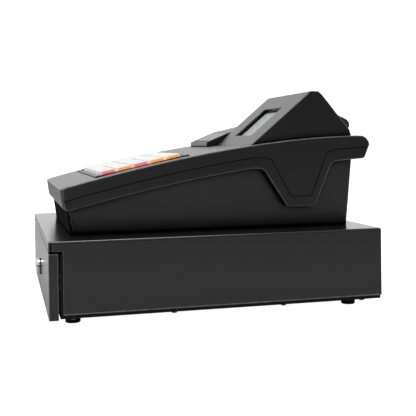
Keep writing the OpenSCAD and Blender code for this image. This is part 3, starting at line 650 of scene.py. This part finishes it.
PRESS = JOINTS[BODIES["key_c7_r1"]]["axis"]
KEY_UP = -Vector(PRESS).normalized()
KEY_CORNER = 2.2 * MM
KEY_EDGE = 0.8 * MM
DISH_STEPS = ((0.93, 0.05), (0.85, 0.16), (0.8, 0.12), (0.7, 0.05))  # shrink, depth in mm
DISH = sum(depth for shrink, depth in DISH_STEPS) * MM
# the prints are made in millimetres
DIGIT_SIZE = 4.6
PRINT_HEIGHT = 0.06
LABEL_SIZE = (7.5, 1.4, PRINT_HEIGHT)
LABEL_CORNER = 0.5


def cap_top(bm):
    """The highest face that looks up from the keyboard."""
    tops = [f for f in bm.faces if f.normal.dot(KEY_UP) > 0.99]
    return max(tops, key=lambda f: f.calc_center_median().dot(KEY_UP))


def key(node):
    """A key cap with rounded corners, a soft top edge and a shallow dish."""
    bm = cad_copy(node)
    rim = set(cap_top(bm).verts)
    uprights = [e for v in rim for e in v.link_edges if e.other_vert(v) not in rim]
    round_off(bm, uprights, KEY_CORNER, 5)
    round_off(bm, cap_top(bm).edges, KEY_EDGE, 3)
    top = cap_top(bm)
    middle = top.calc_center_median()
    for shrink, depth in DISH_STEPS:
        top = bmesh.ops.extrude_discrete_faces(bm, faces=[top])["faces"][0]
        down = KEY_UP * depth * MM
        for v in top.verts:
            v.co = middle + (v.co - middle) * shrink - down
        middle = middle - down
    stand_in(bm, node)


def key_top(node):
    """The middle of the cap's top plane."""
    places = [v.co for v in frame["nodes"][node].data.vertices]
    height = max(place.dot(KEY_UP) for place in places)
    corners = [place for place in places if place.dot(KEY_UP) > height - 0.01 * MM]
    return sum(corners, Vector()) / len(corners)


def print_on_key(bm, node, kind):
    """Lays a thin print, made round the origin in millimetres, in the dish of a key."""
    right = Vector((1, 0, 0))
    place = Matrix((right, KEY_UP.cross(right), KEY_UP)).transposed().to_4x4()
    place.translation = key_top(node) - KEY_UP * DISH
    bmesh.ops.transform(bm, matrix=place @ Matrix.Scale(MM, 4), verts=bm.verts)
    show(bm, f"{node}_{kind}", BODIES[node], "key_ink", weighted=False)


def digit(node, text):
    """Prints a generic figure or sign on a key."""
    letters = bpy.data.curves.new("digit", "FONT")
    letters.body, letters.size = text, DIGIT_SIZE
    letters.align_x = letters.align_y = "CENTER"
    letters.extrude, letters.resolution_u = PRINT_HEIGHT / 2, 3
    drawn = bpy.data.objects.new("digit", letters)
    bpy.context.scene.collection.objects.link(drawn)
    mesh = bpy.data.meshes.new_from_object(drawn)
    bm = bmesh.new()
    bm.from_mesh(mesh)
    bpy.data.objects.remove(drawn)
    bpy.data.meshes.remove(mesh)
    bmesh.ops.remove_doubles(bm, verts=bm.verts, dist=0.001)
    bmesh.ops.recalc_face_normals(bm, faces=bm.faces)
    print_on_key(bm, node, "digit")


def label(node):
    """Prints a blank bar on a key that has no figure."""
    bm = bmesh.new()
    bmesh.ops.create_cube(bm, size=1.0)
    bmesh.ops.scale(bm, vec=LABEL_SIZE, verts=bm.verts)
    uprights = [e for e in bm.edges if abs(e.verts[0].co.z - e.verts[1].co.z) > 0.01]
    bmesh.ops.bevel(
        bm, geom=uprights, offset=LABEL_CORNER, offset_type="OFFSET", affect="EDGES", segments=4,
        profile=0.5, material=-1, clamp_overlap=True,
    )
    print_on_key(bm, node, "label")


DIGITS = {
    "key_c4_r4": "7", "key_c5_r4": "8", "key_c6_r4": "9",
    "key_c4_r3": "4", "key_c5_r3": "5", "key_c6_r3": "6",
    "key_c4_r2": "1", "key_c5_r2": "2", "key_c6_r2": "3",
    "key_c4_r1": "0", "key_c6_r1": "00",
    "key_c1_r1": "+", "key_c2_r1": "-", "key_c3_r1": "%",
}

for node in KEYS:
    key(node)
    if node in DIGITS:
        digit(node, DIGITS[node])
    else:
        label(node)

# ---------------------------------------------------------------- light, floor and camera

WORLD_LIGHT, WORLD_SIDE = 0.98, 0.1  # strength all round, and level with the operator's right
WORLD_TOP = 0.45  # share of the strength that is left overhead
WORLD_SEEN = 1.25
FLOOR_SIZE = 6.0
FLOOR_GREY = 0.57


def world_light():
    """White surroundings, dimmer on the operator's right, and pure white where they show."""
    world = bpy.data.worlds.new("studio")
    world.use_nodes = True
    bpy.context.scene.world = world
    tree = world.node_tree
    background = tree.nodes["Background"]
    way = node_of(tree, "ShaderNodeSeparateXYZ")
    tree.links.new(node_of(tree, "ShaderNodeTexCoord").outputs["Generated"], way.inputs["Vector"])
    aside = spread_of(tree, way.outputs["X"], 0.0, 1.0, 0.0, 0.5)
    level = spread_of(tree, way.outputs["Z"], 1.0, 0.0, 0.1, 0.7)
    side = spread_of(tree, times_of(tree, aside, level), WORLD_LIGHT, WORLD_SIDE, 0.0, 1.0)
    high = spread_of(tree, way.outputs["Z"], 1.0, WORLD_TOP, 0.3, 0.9)
    around = times_of(tree, side, high)
    seen = node_of(tree, "ShaderNodeLightPath")
    white = node_of(tree, "ShaderNodeMath", operation="MAXIMUM")
    tree.links.new(around, white.inputs[0])
    tree.links.new(times_of(tree, seen.outputs["Is Camera Ray"], WORLD_SEEN), white.inputs[1])
    background.inputs["Color"].default_value = (1, 1, 1, 1)
    tree.links.new(white.outputs["Value"], background.inputs["Strength"])


def soft_lamp(name, place, target, width, height, power):
    """A rectangular lamp that points at the target."""
    lamp = bpy.data.lights.new(name, "AREA")
    lamp.shape = "RECTANGLE"
    lamp.size, lamp.size_y, lamp.energy = width, height, power
    made = bpy.data.objects.new(name, lamp)
    made.location = place
    made.rotation_mode = "QUATERNION"
    made.rotation_quaternion = (Vector(target) - Vector(place)).to_track_quat("-Z", "Y")
    bpy.context.scene.collection.objects.link(made)


def pale_floor():
    """A pale floor that takes shadows and is white where it shows."""
    bm = bmesh.new()
    bmesh.ops.create_grid(bm, x_segments=1, y_segments=1, size=FLOOR_SIZE)
    mesh = bpy.data.meshes.new("floor")
    bm.to_mesh(mesh)
    bm.free()
    pale = bpy.data.materials.new("floor")
    pale.use_nodes = True
    bsdf = pale.node_tree.nodes["Principled BSDF"]
    bsdf.inputs["Base Color"].default_value = (FLOOR_GREY, FLOOR_GREY, FLOOR_GREY, 1)
    bsdf.inputs["Roughness"].default_value = 0.9
    bsdf.inputs["Specular IOR Level"].default_value = 0.0
    bsdf.inputs["Emission Color"].default_value = (1, 1, 1, 1)
    seen = node_of(pale.node_tree, "ShaderNodeLightPath")
    glow = times_of(pale.node_tree, seen.outputs["Is Camera Ray"], 1.0)
    pale.node_tree.links.new(glow, bsdf.inputs["Emission Strength"])
    mesh.materials.append(pale)
    made = bpy.data.objects.new("floor", mesh)
    bpy.context.scene.collection.objects.link(made)


# The camera stands to the operator's right, level with the display
CAMERA_AT = (1.15866, -0.25507, 0.21084)
CAMERA_YAW, CAMERA_PITCH, CAMERA_ROLL = (math.radians(a) for a in (15.383, -0.516, -0.676))
CAMERA_LENS = 70.893
CAMERA_SHIFT = (-0.0498, -0.1394)


def stand_camera():
    """A long lens, shifted down and aside, that looks along the operator's right side."""
    lens = bpy.data.cameras.new("camera")
    lens.sensor_width = 36
    lens.lens = CAMERA_LENS
    lens.shift_x, lens.shift_y = CAMERA_SHIFT
    lens.dof.use_dof = False
    made = bpy.data.objects.new("camera", lens)
    ahead = Vector((
        -math.cos(CAMERA_YAW) * math.cos(CAMERA_PITCH),
        math.sin(CAMERA_YAW) * math.cos(CAMERA_PITCH),
        math.sin(CAMERA_PITCH),
    ))
    turn = ahead.to_track_quat("-Z", "Y") @ Matrix.Rotation(CAMERA_ROLL, 3, "Z").to_quaternion()
    made.rotation_mode = "QUATERNION"
    made.rotation_quaternion = turn
    made.location = CAMERA_AT
    bpy.context.scene.collection.objects.link(made)
    bpy.context.scene.camera = made


world_light()
pale_floor()
soft_lamp("overhead", (0.15, -0.1, 1.9), (0.1, 0, 0.1), 1.0, 1.2, 20)
soft_lamp("left", (-0.9, -2.2, 1.1), (0, 0, 0.1), 1.8, 1.4, 8)
stand_camera()
bpy.context.scene.view_settings.view_transform = "Standard"
